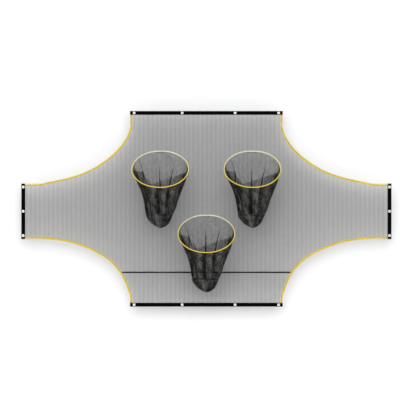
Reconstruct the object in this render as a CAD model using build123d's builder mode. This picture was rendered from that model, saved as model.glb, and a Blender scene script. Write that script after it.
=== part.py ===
from build123d import *

import os
from math import acos, cos, degrees, radians, sin, sqrt

# Golf chipping net: a shaped net panel that hangs by eyelets in four webbing edges,
# with three mesh baskets, each held open by a sprung hoop hinged to the net.
# Millimetres. X runs along the long edges, Z is up and the baskets stand out along -Y.
# The origin is the centre of the net, midway between the four outer long-edge eyelets.

# Net
net_width = 3660
net_height = 1934
long_edge_length = 1510
side_edge_length = 550
side_edge_drop = 25
net_thickness = 2.4
seam_above_bottom = 339

# Webbing, folded over each straight edge
web_width = 38
web_thickness = 1.2

# Yellow binding, folded over each curved edge
binding_width = 15
binding_thickness = 0.9
binding_setback = 9
binding_fold_gap = 0.2
tucked_under = 10

# Each curved edge runs from a long edge to a side edge. Its shape is given by five
# points, as shares of the way across and of the way down to the side edge
upper_curve_shares = (
    (0.011, 0.222),
    (0.124, 0.507),
    (0.389, 0.798),
    (0.689, 0.941),
    (0.830, 0.986),
)
lower_curve_shares = (
    (0.031, 0.233),
    (0.131, 0.539),
    (0.387, 0.832),
    (0.688, 0.972),
    (0.830, 0.995),
)

# Tape over the seam between the two net panels
seam_tape_width = 10
seam_tape_thickness = 0.8
seam_tape_setback = 22

# Eyelets
eyelet_hole_radius = 6
eyelet_wall = 1
eyelet_flange_radius = 12.5
eyelet_flange_thickness = 1
eyelet_roll_radius = 8.5
eyelet_roll_thickness = 0.6
long_edge_eyelet_margin = 41
side_edge_eyelet_margin = 35
inner_eyelet_left = -239
inner_eyelet_right = 284

# Baskets: sideways place and hoop-top height of each
upper_basket_spacing = 904
upper_basket_height = 568
lower_basket_height = -65

# Hoop: a sprung rod in two lengths, joined by ferrules, inside a fabric sleeve
hoop_width = 554
hoop_flattening = 6
hoop_shoulder_radius = 130
hoop_tilt = 48.9
rod_radius = 3
ferrule_wall = 1.2
ferrule_length = 44
ferrule_angle = 7
rod_end_gap = 1
sleeve_clearance = 0.3
sleeve_thickness = 1.25

# Hinge loop: a strip of tape looped round the sleeve's flat top and sewn to the net
loop_clearance = 0.3
loop_thickness = 1.2
loop_tab_height = 16
loop_end_gap = 1.5

# Bag
bag_depth = 756
bag_wall = 3
bag_mouth_gap = 8
bag_sleeve_gap = 0.6
bag_back_gap = 5
bag_tip_radius = 12

# Bag cross-sections below the mouth, down to the cup's seam: drop of the front below the
# hoop as a share of the bag's length there, drop of the back as a share of the front's, back
# and front reach as shares of the hoop's stand-off, and half-width as a share of the hoop's.
wall_shares = (
    (0.215, 0.450, 0.000, 0.908, 0.823),
    (0.454, 0.779, 0.005, 0.775, 0.614),
    (0.662, 1.000, 0.065, 0.690, 0.473),
)
cup_shares = (
    wall_shares[-1],
    (0.859, 1.000, 0.160, 0.569, 0.321),
    (0.960, 1.000, 0.252, 0.472, 0.152),
)

# Derived sizes
half_net = net_thickness / 2
half_web = half_net + web_thickness
binding_reach = binding_width - binding_thickness
hem_width = web_width - web_thickness
field_width = net_width - 2 * web_width
field_height = net_height - 2 * web_width
seam_z = seam_above_bottom - net_height / 2
eyelet_outer_radius = eyelet_hole_radius + eyelet_wall
hoop_radius = hoop_width / 2
hoop_depth = hoop_width - hoop_flattening
hoop_centre = hoop_radius - hoop_flattening
hoop_flat = sqrt(
    (hoop_radius - hoop_shoulder_radius) ** 2
    - (hoop_centre - hoop_shoulder_radius) ** 2
)
ferrule_radius = rod_radius + ferrule_wall
sleeve_inner_radius = ferrule_radius + sleeve_clearance
sleeve_radius = sleeve_inner_radius + sleeve_thickness
loop_inner_radius = sleeve_radius + loop_clearance
loop_radius = loop_inner_radius + loop_thickness
loop_length = 2 * (hoop_flat - loop_end_gap)
hinge_reach = half_net + loop_radius
hoop_reach = hoop_depth * sin(radians(hoop_tilt))
hoop_drop = hoop_depth * cos(radians(hoop_tilt))

long_edge_eyelets = (
    long_edge_eyelet_margin - long_edge_length / 2,
    inner_eyelet_left,
    inner_eyelet_right,
    long_edge_length / 2 - long_edge_eyelet_margin,
)
side_edge_eyelets = (
    side_edge_eyelet_margin - side_edge_length / 2,
    0,
    side_edge_length / 2 - side_edge_eyelet_margin,
)
long_line = (net_height - web_width) / 2
side_line = (net_width - web_width) / 2
top_eyelets = [(x, long_line) for x in long_edge_eyelets]
bottom_eyelets = [(x, -long_line) for x in long_edge_eyelets]
left_eyelets = [(-side_line, z - side_edge_drop) for z in side_edge_eyelets]
right_eyelets = [(side_line, z - side_edge_drop) for z in side_edge_eyelets]

os.makedirs("parts", exist_ok=True)


def save(part, label):
    part.label = label
    export_step(part, f"parts/{label}.step")


def curve_points(side, up, shares):
    """Points of one curved edge; side and up are 1 or -1 and name its corner."""
    start_x = long_edge_length / 2 - binding_setback
    start_z = field_height / 2 + tucked_under
    end_x = field_width / 2 + tucked_under
    end_z = side_edge_length / 2 - binding_setback - up * side_edge_drop
    points = [(start_x, start_z)]
    for across, down in shares:
        x = start_x + across * (end_x - start_x)
        z = start_z + down * (end_z - start_z)
        points.append((x, z))
    points.append((end_x, end_z))
    return [(side * x, up * z) for x, z in points]


def curved_edge(side, up):
    """Edge of the net on one corner."""
    shares = upper_curve_shares if up > 0 else lower_curve_shares
    return Spline(*curve_points(side, up, shares), tangents=((0, -up), (side, 0)))


corners = {
    "upper_left": (-1, 1),
    "upper_right": (1, 1),
    "lower_left": (-1, -1),
    "lower_right": (1, -1),
}

# Net without its hems
with BuildSketch(Plane.XZ) as field:
    with BuildLine():
        top_curve = curved_edge(1, 1)
        bottom_curve = curved_edge(1, -1)
        Line(top_curve @ 1, bottom_curve @ 1)
        Line(top_curve @ 0, (0, (top_curve @ 0).Y))
        Line(bottom_curve @ 0, (0, (bottom_curve @ 0).Y))
        Line((0, (top_curve @ 0).Y), (0, (bottom_curve @ 0).Y))
    make_face()
    mirror(about=Plane.YZ)

# Whole net, with the hems that the webbing folds over
hem_z = net_height / 2 - web_thickness - hem_width / 2
hem_x = net_width / 2 - web_thickness - hem_width / 2
with BuildSketch(Plane.XZ) as outline:
    add(field.sketch_local)
    with Locations((0, hem_z), (0, -hem_z)):
        Rectangle(long_edge_length, hem_width)
    with Locations((-hem_x, -side_edge_drop), (hem_x, -side_edge_drop)):
        Rectangle(hem_width, side_edge_length)

with BuildPart() as whole_net:
    with BuildSketch(Plane.XZ.offset(-half_net)):
        add(outline.sketch_local)
    extrude(amount=net_thickness)
    with BuildSketch(Plane.XZ.offset(-half_net)):
        with Locations(*top_eyelets, *bottom_eyelets, *left_eyelets, *right_eyelets):
            Circle(eyelet_outer_radius)
    extrude(amount=net_thickness, mode=Mode.SUBTRACT)

with BuildPart() as upper_net_panel:
    add(whole_net.part)
    split(bisect_by=Plane.XY.offset(seam_z), keep=Keep.TOP)
save(upper_net_panel.part, "upper_net_panel")

with BuildPart() as lower_net_panel:
    add(whole_net.part)
    split(bisect_by=Plane.XY.offset(seam_z), keep=Keep.BOTTOM)
save(lower_net_panel.part, "lower_net_panel")

# Seam tape: one strip in front of the net and one behind it, between the bindings
seam_face = lower_net_panel.part.faces().filter_by(Axis.Z).sort_by(Axis.Z)[-1]
seam_tape_length = seam_face.bounding_box().size.X - 2 * seam_tape_setback
for label, layer, grow in (
    ("seam_tape_front", half_net, seam_tape_thickness),
    ("seam_tape_back", -half_net, -seam_tape_thickness),
):
    with BuildPart() as seam_tape:
        with BuildSketch(Plane.XZ.offset(layer)):
            with Locations((0, seam_z)):
                Rectangle(seam_tape_length, seam_tape_width)
        extrude(amount=grow)
    save(seam_tape.part, label)

# Bindings: tape folded over each curved edge, from webbing to webbing
for corner, (side, up) in corners.items():
    with BuildPart() as binding:
        with BuildLine(Plane.XZ) as edge:
            curved_edge(side, up)
        start = Plane(origin=edge.line @ 0, x_dir=(0, 1, 0), z_dir=edge.line % 0)
        inward = -side * up
        with BuildSketch(start):
            with Locations((0, inward * (binding_reach - binding_thickness) / 2)):
                Rectangle(net_thickness + 2 * binding_thickness, binding_width)
            with Locations((0, inward * (binding_reach - binding_fold_gap) / 2)):
                slot_width = binding_reach + binding_fold_gap
                Rectangle(net_thickness, slot_width, mode=Mode.SUBTRACT)
        sweep(path=edge.line)
        Box(field_width, binding_width, field_height, mode=Mode.INTERSECT)
    save(binding.part, f"{corner}_binding")


def webbing(centre, hem_centre, size, hem_size, eyelets):
    """Webbing folded over one straight hem and pierced for its eyelets."""
    with BuildPart() as folded:
        with BuildSketch(Plane.XZ.offset(-half_web)):
            with Locations(centre):
                Rectangle(*size)
            with Locations(*eyelets):
                Circle(eyelet_outer_radius, mode=Mode.SUBTRACT)
        extrude(amount=2 * half_web)
        with BuildSketch(Plane.XZ.offset(-half_net)):
            with Locations(hem_centre):
                Rectangle(*hem_size)
        extrude(amount=net_thickness, mode=Mode.SUBTRACT)
    return folded.part


def eyelets(points):
    """Front flange and barrel of each eyelet, with its end rolled over the washer."""
    back = half_web + eyelet_flange_thickness
    with BuildPart() as group:
        with BuildSketch(Plane.XZ.offset(half_web)):
            with Locations(*points):
                Circle(eyelet_flange_radius)
                Circle(eyelet_hole_radius, mode=Mode.SUBTRACT)
        extrude(amount=eyelet_flange_thickness)
        with BuildSketch(Plane.XZ.offset(-back)):
            with Locations(*points):
                Circle(eyelet_outer_radius)
                Circle(eyelet_hole_radius, mode=Mode.SUBTRACT)
        extrude(amount=back + half_web)
        with BuildSketch(Plane.XZ.offset(-back)):
            with Locations(*points):
                Circle(eyelet_roll_radius)
                Circle(eyelet_hole_radius, mode=Mode.SUBTRACT)
        extrude(amount=-eyelet_roll_thickness)
    return group.part


def washers(points):
    """Washer behind the webbing at each eyelet."""
    with BuildPart() as group:
        with BuildSketch(Plane.XZ.offset(-half_web)):
            with Locations(*points):
                Circle(eyelet_flange_radius)
                Circle(eyelet_outer_radius, mode=Mode.SUBTRACT)
        extrude(amount=-eyelet_flange_thickness)
    return group.part


long_size = (long_edge_length, web_width)
long_hem = (long_edge_length, hem_width)
side_size = (web_width, side_edge_length)
side_hem = (hem_width, side_edge_length)
edges = {
    "top": ((0, long_line), (0, hem_z), long_size, long_hem, top_eyelets),
    "bottom": ((0, -long_line), (0, -hem_z), long_size, long_hem, bottom_eyelets),
    "left": (
        (-side_line, -side_edge_drop),
        (-hem_x, -side_edge_drop),
        side_size,
        side_hem,
        left_eyelets,
    ),
    "right": (
        (side_line, -side_edge_drop),
        (hem_x, -side_edge_drop),
        side_size,
        side_hem,
        right_eyelets,
    ),
}
for name, (centre, hem_centre, size, hem_size, points) in edges.items():
    save(webbing(centre, hem_centre, size, hem_size, points), f"{name}_webbing")
    save(eyelets(points), f"{name}_eyelets")
    save(washers(points), f"{name}_eyelet_washers")


def hoop_plane(x, z):
    """Plane of a hoop: origin at the middle of its flat top, local -Y down the hoop."""
    tilt = radians(hoop_tilt)
    down = Vector(0, -sin(tilt), -cos(tilt))
    across = Vector(1, 0, 0)
    return Plane(origin=(x, -hinge_reach, z), x_dir=across, z_dir=across.cross(-down))


def side_point(side, angle):
    """Point on the hoop's round part, angle degrees below its widest point."""
    x = side * hoop_radius * cos(radians(angle))
    return (x, -hoop_centre - hoop_radius * sin(radians(angle)))


def upper_half(angle):
    """Hoop line over the top, between points angle degrees below the widest ones."""
    turn = degrees(acos(hoop_flat / (hoop_radius - hoop_shoulder_radius)))
    meet = side_point(1, -turn)
    flank = side_point(1, (angle - turn) / 2)
    middle = radians((90 + turn) / 2)
    shoulder_x = hoop_flat + hoop_shoulder_radius * cos(middle)
    shoulder_y = hoop_shoulder_radius * (sin(middle) - 1)
    ThreePointArc(side_point(1, angle), flank, meet)
    ThreePointArc(meet, (shoulder_x, shoulder_y), (hoop_flat, 0))
    Line((hoop_flat, 0), (-hoop_flat, 0))
    ThreePointArc((-hoop_flat, 0), (-shoulder_x, shoulder_y), (-meet[0], meet[1]))
    ThreePointArc((-meet[0], meet[1]), (-flank[0], flank[1]), side_point(-1, angle))


def lower_half(angle):
    """Hoop line round the front, between points angle degrees below the widest ones."""
    ThreePointArc(side_point(-1, angle), (0, -hoop_depth), side_point(1, angle))


def tube(path, radius):
    """Round bar along a line."""
    with BuildPart() as bar:
        with BuildSketch(Plane(origin=path @ 0, z_dir=path % 0)):
            Circle(radius)
        sweep(path=path)
    return bar.part


def cross_section(x, back, front, half_width):
    """Plane and radii of a bag cross-section between a back and a front (y, z)."""
    back = Vector(x, *back)
    front = Vector(x, *front)
    across = Vector(1, 0, 0)
    plane = Plane(
        origin=(back + front) / 2, x_dir=across, z_dir=across.cross(front - back)
    )
    return plane, half_width, (front - back).length / 2


def share_section(x, z, shares):
    """Cross-section of the bag from its shares; see wall_shares."""
    front_share, back_share, back_reach, front_reach, half_width = shares
    front_drop = hoop_drop + front_share * (bag_depth - hoop_drop)
    start = -hinge_reach - bag_back_gap
    back = (start - back_reach * hoop_reach, z - back_share * front_drop)
    front = (-hinge_reach - front_reach * hoop_reach, z - front_drop)
    return cross_section(x, back, front, half_width * hoop_radius)


def bag_and_cup(x, z):
    """Mesh wall from the mouth down to a seam, and the cup sewn on below it."""
    hoop = hoop_plane(x, z)
    below = sleeve_radius + bag_sleeve_gap
    back = hoop.from_local_coords(Vector(0, -bag_mouth_gap, -below))
    front = hoop.from_local_coords(Vector(0, -hoop_depth, -below))
    mouth = cross_section(x, (back.Y, back.Z), (front.Y, front.Z), hoop_radius)
    wall = [mouth] + [share_section(x, z, shares) for shares in wall_shares]
    with BuildPart() as bag:
        for plane, half_width, half_depth in wall:
            with BuildSketch(plane):
                Ellipse(half_width, half_depth)
        loft()
        for plane, half_width, half_depth in wall:
            with BuildSketch(plane):
                Ellipse(half_width - bag_wall, half_depth - bag_wall)
        loft(mode=Mode.SUBTRACT)

    cup = [share_section(x, z, shares) for shares in cup_shares]
    tip_y = cup[-1][0].origin.Y
    tip = Plane(origin=(x, tip_y, z - bag_depth), z_dir=(0, 0, -1))
    with BuildPart() as bag_bottom:
        for plane, half_width, half_depth in cup:
            with BuildSketch(plane):
                Ellipse(half_width, half_depth)
        with BuildSketch(tip):
            Circle(bag_tip_radius)
        loft()
        for index, (plane, half_width, half_depth) in enumerate(cup):
            lift = -bag_wall if index else 0
            with BuildSketch(plane.offset(lift)):
                Ellipse(half_width - bag_wall, half_depth - bag_wall)
        with BuildSketch(tip.offset(-2 * bag_wall)):
            Circle(bag_tip_radius - bag_wall)
        loft(mode=Mode.SUBTRACT)
    return bag.part, bag_bottom.part


def hinge_loop(x, z):
    """Tape looped round the flat top of the sleeve; its doubled tab is sewn down the net."""
    across = Vector(1, 0, 0)
    origin = (x - loop_length / 2, -hinge_reach, z)
    side = Plane(origin=origin, x_dir=(0, 1, 0), z_dir=across)
    tab = 2 * loop_thickness
    tab_reach = loop_radius + loop_tab_height
    with BuildPart() as loop:
        with BuildSketch(side):
            Circle(loop_radius)
            with Locations((loop_radius - tab / 2, -tab_reach / 2)):
                Rectangle(tab, tab_reach)
            Circle(loop_inner_radius, mode=Mode.SUBTRACT)
        extrude(amount=loop_length)
    return loop.part


def rod_trim(length):
    """Angle that a length covers along the round part of the hoop."""
    return length / radians(1) / hoop_radius


def basket(name, x, z):
    """Hoop rods, ferrules, sleeve, bag, bag bottom and hinge loop of one basket."""
    plane = hoop_plane(x, z)
    with BuildLine(plane) as upper_line:
        upper_half(ferrule_angle - rod_trim(rod_end_gap / 2))
    save(tube(upper_line.wire(), rod_radius), f"{name}_hoop_upper_rod")
    with BuildLine(plane) as lower_line:
        lower_half(ferrule_angle + rod_trim(rod_end_gap / 2))
    save(tube(lower_line.wire(), rod_radius), f"{name}_hoop_lower_rod")

    half_ferrule = rod_trim(ferrule_length / 2)
    with BuildPart() as ferrules:
        for side in (-1, 1):
            with BuildLine(plane, mode=Mode.PRIVATE) as ferrule_line:
                ThreePointArc(
                    side_point(side, ferrule_angle - half_ferrule),
                    side_point(side, ferrule_angle),
                    side_point(side, ferrule_angle + half_ferrule),
                )
            path = ferrule_line.wire()
            with BuildSketch(Plane(origin=path @ 0, z_dir=path % 0)):
                Circle(ferrule_radius)
                Circle(rod_radius, mode=Mode.SUBTRACT)
            sweep(path=path)
    save(ferrules.part, f"{name}_hoop_ferrules")

    with BuildLine(plane) as whole_line:
        upper_half(ferrule_angle)
        lower_half(ferrule_angle)
    with BuildPart() as sleeve:
        add(tube(whole_line.wire(), sleeve_radius))
        add(tube(whole_line.wire(), sleeve_inner_radius), mode=Mode.SUBTRACT)
    save(sleeve.part, f"{name}_hoop_sleeve")

    bag, bag_bottom = bag_and_cup(x, z)
    save(bag, f"{name}_bag")
    save(bag_bottom, f"{name}_bag_bottom")
    save(hinge_loop(x, z), f"{name}_hinge_loop")


basket("left", -upper_basket_spacing / 2, upper_basket_height)
basket("right", upper_basket_spacing / 2, upper_basket_height)
basket("lower", 0, lower_basket_height)
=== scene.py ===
import math

import bpy
import numpy as np
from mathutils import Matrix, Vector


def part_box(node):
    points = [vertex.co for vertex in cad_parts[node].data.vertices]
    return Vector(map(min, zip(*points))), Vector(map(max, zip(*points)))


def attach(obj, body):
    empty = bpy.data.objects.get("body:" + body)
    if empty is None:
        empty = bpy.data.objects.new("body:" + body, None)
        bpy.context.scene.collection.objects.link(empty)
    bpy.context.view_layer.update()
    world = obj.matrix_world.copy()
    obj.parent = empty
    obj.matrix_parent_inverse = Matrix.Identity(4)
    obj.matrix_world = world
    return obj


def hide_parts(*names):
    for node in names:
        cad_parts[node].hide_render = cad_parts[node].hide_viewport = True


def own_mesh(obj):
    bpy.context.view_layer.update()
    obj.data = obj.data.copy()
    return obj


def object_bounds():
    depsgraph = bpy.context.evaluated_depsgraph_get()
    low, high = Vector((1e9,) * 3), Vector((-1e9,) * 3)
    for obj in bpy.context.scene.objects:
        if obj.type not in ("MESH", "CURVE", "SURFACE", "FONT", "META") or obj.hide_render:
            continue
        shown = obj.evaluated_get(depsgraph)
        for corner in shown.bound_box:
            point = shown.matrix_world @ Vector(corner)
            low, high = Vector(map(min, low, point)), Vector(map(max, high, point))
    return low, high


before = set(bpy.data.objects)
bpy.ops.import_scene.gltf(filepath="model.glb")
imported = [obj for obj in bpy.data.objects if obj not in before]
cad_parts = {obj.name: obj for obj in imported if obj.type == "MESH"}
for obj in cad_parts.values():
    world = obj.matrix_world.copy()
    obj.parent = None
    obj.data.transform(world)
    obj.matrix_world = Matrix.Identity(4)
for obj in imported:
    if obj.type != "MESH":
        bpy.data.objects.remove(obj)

cad_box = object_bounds()

# Camera. It looks straight at the net from far off and level with its middle, so that the
# net shows almost without perspective.
view_width = 4.113
camera_distance = 24.0
sideways = 0.016
upward = 0.008
middle = (cad_box[0] + cad_box[1]) / 2
lens_data = bpy.data.cameras.new("camera")
lens_data.sensor_width = 36.0
lens_data.lens = lens_data.sensor_width * camera_distance / view_width
lens_data.clip_end = 200.0
camera = bpy.data.objects.new("camera", lens_data)
bpy.context.collection.objects.link(camera)
camera.location = (middle.x + sideways, -camera_distance, middle.z + upward)
camera.rotation_euler = (math.radians(90), 0, 0)
bpy.context.scene.camera = camera


# Studio: a white wall close behind the net and a pale floor well below it, lit by a broad
# light from above and in front, with soft light from all round.
wall_gap = 0.15
floor_drop = 1.45
stage_reach = 9.0


def mesh_piece(name, points, faces, smooth=True):
    """A mesh object from arrays of points and faces."""
    mesh = bpy.data.meshes.new(name)
    mesh.from_pydata([tuple(p) for p in points], [], [tuple(f) for f in faces])
    mesh.update()
    mesh.polygons.foreach_set("use_smooth", [smooth] * len(mesh.polygons))
    piece = bpy.data.objects.new(name, mesh)
    bpy.context.collection.objects.link(piece)
    return piece


def node_material(name):
    """A new material, its node tree's nodes and links, and its main shader."""
    material = bpy.data.materials.new(name)
    material.use_nodes = True
    tree = material.node_tree
    return material, tree.nodes, tree.links, tree.nodes["Principled BSDF"]


wall_y = cad_box[1].y + wall_gap
floor_z = cad_box[0].z - floor_drop
wall = mesh_piece(
    "wall",
    [
        (-stage_reach, wall_y, floor_z),
        (stage_reach, wall_y, floor_z),
        (stage_reach, wall_y, stage_reach),
        (-stage_reach, wall_y, stage_reach),
    ],
    [(0, 1, 2, 3)],
    smooth=False,
)
wall_paint, nodes, links, shader = node_material("wall_paint")
shader.inputs["Base Color"].default_value = (0.768, 0.768, 0.768, 1)
shader.inputs["Roughness"].default_value = 1.0
shader.inputs["Specular IOR Level"].default_value = 0.0
clear = nodes.new("ShaderNodeBsdfTransparent")
side = nodes.new("ShaderNodeNewGeometry")
mix = nodes.new("ShaderNodeMixShader")
links.new(side.outputs["Backfacing"], mix.inputs["Fac"])
links.new(shader.outputs["BSDF"], mix.inputs[1])
links.new(clear.outputs["BSDF"], mix.inputs[2])
links.new(mix.outputs["Shader"], nodes["Material Output"].inputs["Surface"])
wall.data.materials.append(wall_paint)

floor = mesh_piece(
    "floor",
    [
        (-stage_reach, -stage_reach, floor_z),
        (stage_reach, -stage_reach, floor_z),
        (stage_reach, stage_reach, floor_z),
        (-stage_reach, stage_reach, floor_z),
    ],
    [(0, 1, 2, 3)],
    smooth=False,
)
floor_paint, nodes, links, shader = node_material("floor_paint")
shader.inputs["Base Color"].default_value = (0.84, 0.84, 0.83, 1)
shader.inputs["Roughness"].default_value = 0.9
shader.inputs["Specular IOR Level"].default_value = 0.1
floor.data.materials.append(floor_paint)

world = bpy.data.worlds.new("studio")
world.use_nodes = True
world.node_tree.nodes["Background"].inputs["Color"].default_value = (0.97, 0.98, 1.0, 1)
world.node_tree.nodes["Background"].inputs["Strength"].default_value = 0.62
bpy.context.scene.world = world

key_data = bpy.data.lights.new("key", "SUN")
key_data.energy = 2.5
key_data.angle = math.radians(64)
key = bpy.data.objects.new("key", key_data)
key.rotation_euler = (math.radians(65), 0, math.radians(-2))
bpy.context.collection.objects.link(key)
bpy.context.scene.view_settings.view_transform = "Standard"


# The net: two panels of black half-inch mesh, knitted from flat polyester twine and
# heat set so that it stays square. They meet at the seam and hang a little unevenly.
mesh_pitch = 0.0127
twine_width = 0.0026
level_width = 0.0011
twine_thickness = 0.0018
twine_step = 0.06
edge_margin = 0.002
shortest_strand = 0.02
drift = 0.0006
billow = 0.0022


def waves(seed, count, shortest, longest):
    """Directions and phases of a few gentle waves, for cloth that hangs unevenly."""
    random = np.random.default_rng(seed)
    length = random.uniform(shortest, longest, count)
    angle = random.uniform(0, 2 * math.pi, count)
    turn = 2 * math.pi / length
    return turn * np.cos(angle), turn * np.sin(angle), random.uniform(0, 6.28, count)


def ripple(across, up, kind):
    """Height of a set of waves at points of the net, from -1 to 1."""
    ways = zip(*kind)
    return sum(np.sin(a * across + b * up + c) for a, b, c in ways) / len(kind[0])


sideways_waves = waves(3, 7, 0.25, 1.1)
upward_waves = waves(5, 7, 0.25, 1.1)
billow_waves = waves(8, 6, 0.5, 1.6)


def hang(across, up):
    """How far the net stands off its flat plane at points of it."""
    return billow * ripple(across, up, billow_waves)


def reach(node, along, at):
    """Lowest and highest coordinate of a flat CAD node on lines across one axis."""
    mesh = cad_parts[node].data
    points = np.array([v.co[:] for v in mesh.vertices])[:, [0, 2]]
    ends = points[np.array([e.vertices[:] for e in mesh.edges])]
    here = ends[:, :, along]
    other = ends[:, :, 1 - along]
    low = np.full(len(at), np.nan)
    high = np.full(len(at), np.nan)
    for i, value in enumerate(at):
        crosses = (here.min(1) <= value) & (here.max(1) > value)
        if not crosses.any():
            continue
        a, b = here[crosses].T
        share = (value - a) / (b - a)
        found = other[crosses, 0] + share * (other[crosses, 1] - other[crosses, 0])
        low[i], high[i] = found.min(), found.max()
    return low, high


def strand_boxes(lines, width_way, width, thickness):
    """Square-edged strands along lines of points, as one array of points and one of faces."""
    points, faces, count = [], [], 0
    wide = np.array(width_way) * width / 2
    deep = np.array((0, thickness / 2, 0))
    for line in lines:
        left, right = line - wide, line + wide
        ring = np.stack([left - deep, right - deep, right + deep, left + deep], 1)
        n = len(line)
        points.append(ring.reshape(-1, 3))
        base = count + 4 * np.arange(n - 1)[:, None]
        for k in range(4):
            turn = [k, (k + 1) % 4, 4 + (k + 1) % 4, 4 + k]
            faces.append(base + np.array(turn))
        faces.append(np.array([[count + 3, count + 2, count + 1, count]]))
        last = count + 4 * (n - 1)
        faces.append(np.array([[last, last + 1, last + 2, last + 3]]))
        count += 4 * n
    return np.concatenate(points), np.concatenate(faces)


def net_strands(node):
    """Upright and level strands of one panel, cut to its outline."""
    low_corner, high_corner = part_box(node)
    parts = []
    upright = (0, (1, 0, 0), -0.3, mesh_pitch, twine_width)
    level = (1, (0, 0, 1), 0.3, mesh_pitch / 2, level_width)
    for along, width_way, lift, pitch, width in (upright, level):
        low, high = low_corner[2 * along], high_corner[2 * along]
        first = math.ceil((low + edge_margin) / pitch)
        last = math.floor((high - edge_margin) / pitch)
        at = np.arange(first, last + 1) * pitch
        start, end = reach(node, along, at)
        lines = []
        for value, a, b in zip(at, start, end):
            if not b - a > shortest_strand:
                continue
            n = max(2, int((b - a) / twine_step) + 1)
            run = np.linspace(a, b, n)
            flat = np.full(n, value)
            across, up = (flat, run) if along == 0 else (run, flat)
            if along == 0:
                x = across + drift * ripple(across, up, sideways_waves)
                z = up
            else:
                x = across
                z = up + drift * ripple(across, up, upward_waves)
            y = hang(across, up) + lift * twine_thickness
            lines.append(np.stack([x, y, z], 1))
        parts.append(strand_boxes(lines, width_way, width, twine_thickness))
    (points, faces), (more_points, more_faces) = parts
    return np.concatenate([points, more_points]), np.concatenate([faces, more_faces + len(points)])


def twine_material(name, colour, shine):
    """Polyester twine or thread: fine twisted filaments, with dusty lighter patches."""
    material, nodes, links, shader = node_material(name)
    place = nodes.new("ShaderNodeTexCoord")
    patches = nodes.new("ShaderNodeTexNoise")
    patches.inputs["Scale"].default_value = 9.0
    patches.inputs["Detail"].default_value = 4.0
    links.new(place.outputs["Object"], patches.inputs["Vector"])
    shades = nodes.new("ShaderNodeValToRGB")
    shades.color_ramp.elements[0].position = 0.35
    shades.color_ramp.elements[0].color = (*[c * 0.7 for c in colour], 1)
    shades.color_ramp.elements[1].position = 0.7
    shades.color_ramp.elements[1].color = (*[c * 1.5 for c in colour], 1)
    links.new(patches.outputs["Fac"], shades.inputs["Fac"])
    links.new(shades.outputs["Color"], shader.inputs["Base Color"])
    fibres = nodes.new("ShaderNodeTexNoise")
    fibres.inputs["Scale"].default_value = 1400.0
    fibres.inputs["Detail"].default_value = 2.0
    links.new(place.outputs["Object"], fibres.inputs["Vector"])
    bump = nodes.new("ShaderNodeBump")
    bump.inputs["Strength"].default_value = 0.35
    bump.inputs["Distance"].default_value = 0.0004
    links.new(fibres.outputs["Fac"], bump.inputs["Height"])
    links.new(bump.outputs["Normal"], shader.inputs["Normal"])
    shader.inputs["Roughness"].default_value = 0.7
    shader.inputs["Specular IOR Level"].default_value = 0.15
    shader.inputs["Sheen Weight"].default_value = shine
    shader.inputs["Sheen Roughness"].default_value = 0.5
    return material


net_twine = twine_material("net_twine", (0.030, 0.030, 0.029), 0.05)
panel_areas = {"upper_net_panel": 4.067, "lower_net_panel": 0.529}
for node, area in panel_areas.items():
    panel = mesh_piece(node.replace("_panel", "_mesh"), *net_strands(node), smooth=False)
    panel.data.materials.append(net_twine)
    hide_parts(node)
    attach(panel, "net")
    low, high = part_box(node)


# Seam tape: a black woven tape over the joint between the two panels, one strip in front
# and one behind, sewn through the net along both edges. It puckers a little.
seam_tape_height = 0.0142
seam_tape_wave = 0.0012
seam_tape_step = 0.012
seam_stitch_pitch = 0.0042
seam_row_in = 0.002
seam_end_margin = 0.003
stitch_length = 0.0030
stitch_width = 0.0009
stitch_level = 0.93


def band(line, wide_way, profile):
    """A closed profile, (along wide_way, off the net), carried along a line of points."""
    wide_way = np.array(wide_way, float)
    if wide_way.ndim == 1:
        wide_way = np.tile(wide_way, (len(line), 1))
    profile = np.array(profile, float)
    ring = line[:, None, :] + wide_way[:, None, :] * profile[None, :, :1]
    ring[:, :, 1] += profile[None, :, 1]
    n, k = ring.shape[:2]
    corner = np.arange(k)
    base = k * np.arange(n - 1)[:, None, None]
    turn = np.stack([corner, corner + k, (corner + 1) % k + k, (corner + 1) % k], 1)
    faces = (base + turn[None]).reshape(-1, 4).tolist()
    faces.append(list(range(k)))
    faces.append(list(range(n * k - 1, (n - 1) * k - 1, -1)))
    return ring.reshape(-1, 3), faces


def stitches(name, starts, ways, depth):
    """A run of thread stitches, each a short bar lying along its way."""
    starts, ways = np.array(starts), np.array(ways)
    side = np.stack([-ways[:, 2], np.zeros(len(ways)), ways[:, 0]], 1) * stitch_width / 2
    ahead = ways * stitch_length / 2
    deep = np.array((0, depth / 2, 0))
    taper = 0.55
    rings = []
    for along, size in ((-1, taper), (-0.5, 1), (0.5, 1), (1, taper)):
        at = starts + ahead * along
        for a, b in ((-1, 0), (0, -1), (1, 0), (0, 1)):
            rings.append(at + side * a * size + deep * b * size)
    points = np.stack(rings, 1).reshape(-1, 3)
    stitch = []
    for ring in (0, 4, 8):
        for k in range(4):
            m = (k + 1) % 4
            stitch.append((ring + k, ring + k + 4, ring + m + 4, ring + m))
    stitch += [(0, 1, 2, 3), (15, 14, 13, 12)]
    faces = [[16 * i + v for v in face] for i in range(len(starts)) for face in stitch]
    return mesh_piece(name, points, faces)


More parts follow.
